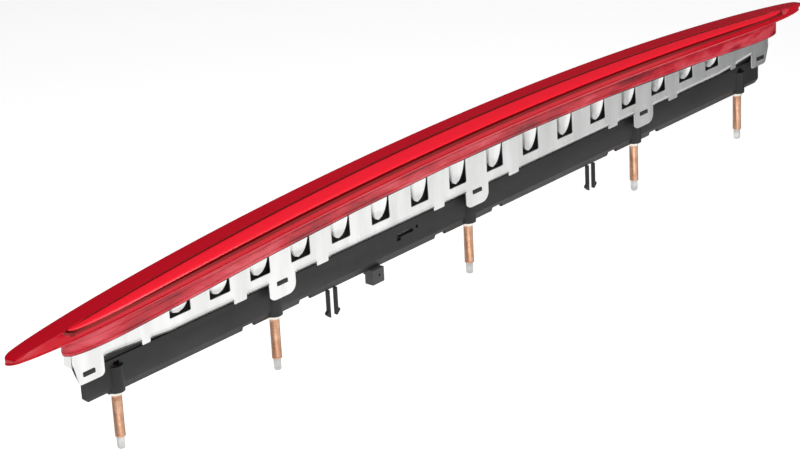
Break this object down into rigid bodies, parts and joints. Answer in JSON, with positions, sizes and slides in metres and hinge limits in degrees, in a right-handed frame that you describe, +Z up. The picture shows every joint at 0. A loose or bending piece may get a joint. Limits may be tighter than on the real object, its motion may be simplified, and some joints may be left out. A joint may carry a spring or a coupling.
{
  "type": "third brake light",
  "caption": "Long arched red high-mount brake light with a slotted metal rail, a black carrier, threaded studs and snap legs.",
  "frame": {"origin": "on the axis of the centre stud, at the foot of its collar, where the free shank starts", "axes": "+X along the lamp, +Y to its rear face, +Z up to the lens; the studs point along -Z"},
  "size_m": [0.642, 0.0299, 0.0874],
  "materials": {
    "red_lens": "polished transparent red moulding",
    "bright_red": "polished",
    "prism_red": "polished prisms",
    "black_rubber": "soft matt",
    "bright_sheet": "bright rolled sheet",
    "black_plastic": "satin moulded",
    "mirror_plastic": "metallised plastic",
    "board": "solder resist",
    "emitter": "clear resin",
    "chip": "ceramic",
    "zinc_steel": "zinc plated",
    "copper_stud": "copper-coloured plating",
    "pale_collar": "pale plated ring",
    "grey_plastic": "moulded",
    "brass_pin": "tinned",
    "wire_sleeve": "extruded sleeve"
  },
  "bodies": {
    "lamp": {"lens_cover": "red_lens", "lens_strip": "bright_red", "inner_lens": "prism_red", "lens_seal": "black_rubber", "metal_rail": "bright_sheet", "housing": "black_plastic", "reflector_bar": "mirror_plastic", "led_board": "board", "leds": "emitter", "resistors": "chip", "board_screws": "zinc_steel", "stud_outer_left": "copper_stud", "stud_inner_left": "copper_stud", "stud_centre": "copper_stud", "stud_inner_right": "copper_stud", "stud_outer_right": "copper_stud", "stud_collars": "pale_collar", "connector_shell": "grey_plastic", "connector_pins": "brass_pin", "lead_wires": "wire_sleeve"},
    "leg_left_outer": {"snap_leg_left_outer": "black_plastic"},
    "leg_left_inner": {"snap_leg_left_inner": "black_plastic"},
    "leg_right_inner": {"snap_leg_right_inner": "black_plastic"},
    "leg_right_outer": {"snap_leg_right_outer": "black_plastic"}
  },
  "joints": [
    {"name": "left_outer_flex", "type": "hinge", "parent": "lamp", "child": "leg_left_outer", "pos_m": [-0.1117, 0, 0.0011], "axis": [0, -1, 0], "range_deg": [0, 6.5], "stiffness_Nm_per_rad": 0.6},
    {"name": "left_inner_flex", "type": "hinge", "parent": "lamp", "child": "leg_left_inner", "pos_m": [-0.1061, 0, 0.0011], "axis": [0, 1, 0], "range_deg": [0, 6.5], "stiffness_Nm_per_rad": 0.6},
    {"name": "right_inner_flex", "type": "hinge", "parent": "lamp", "child": "leg_right_inner", "pos_m": [0.1061, 0, 0.0011], "axis": [0, -1, 0], "range_deg": [0, 6.5], "stiffness_Nm_per_rad": 0.6},
    {"name": "right_outer_flex", "type": "hinge", "parent": "lamp", "child": "leg_right_outer", "pos_m": [0.1117, 0, 0.0011], "axis": [0, 1, 0], "range_deg": [0, 6.5], "stiffness_Nm_per_rad": 0.6}
  ]
}
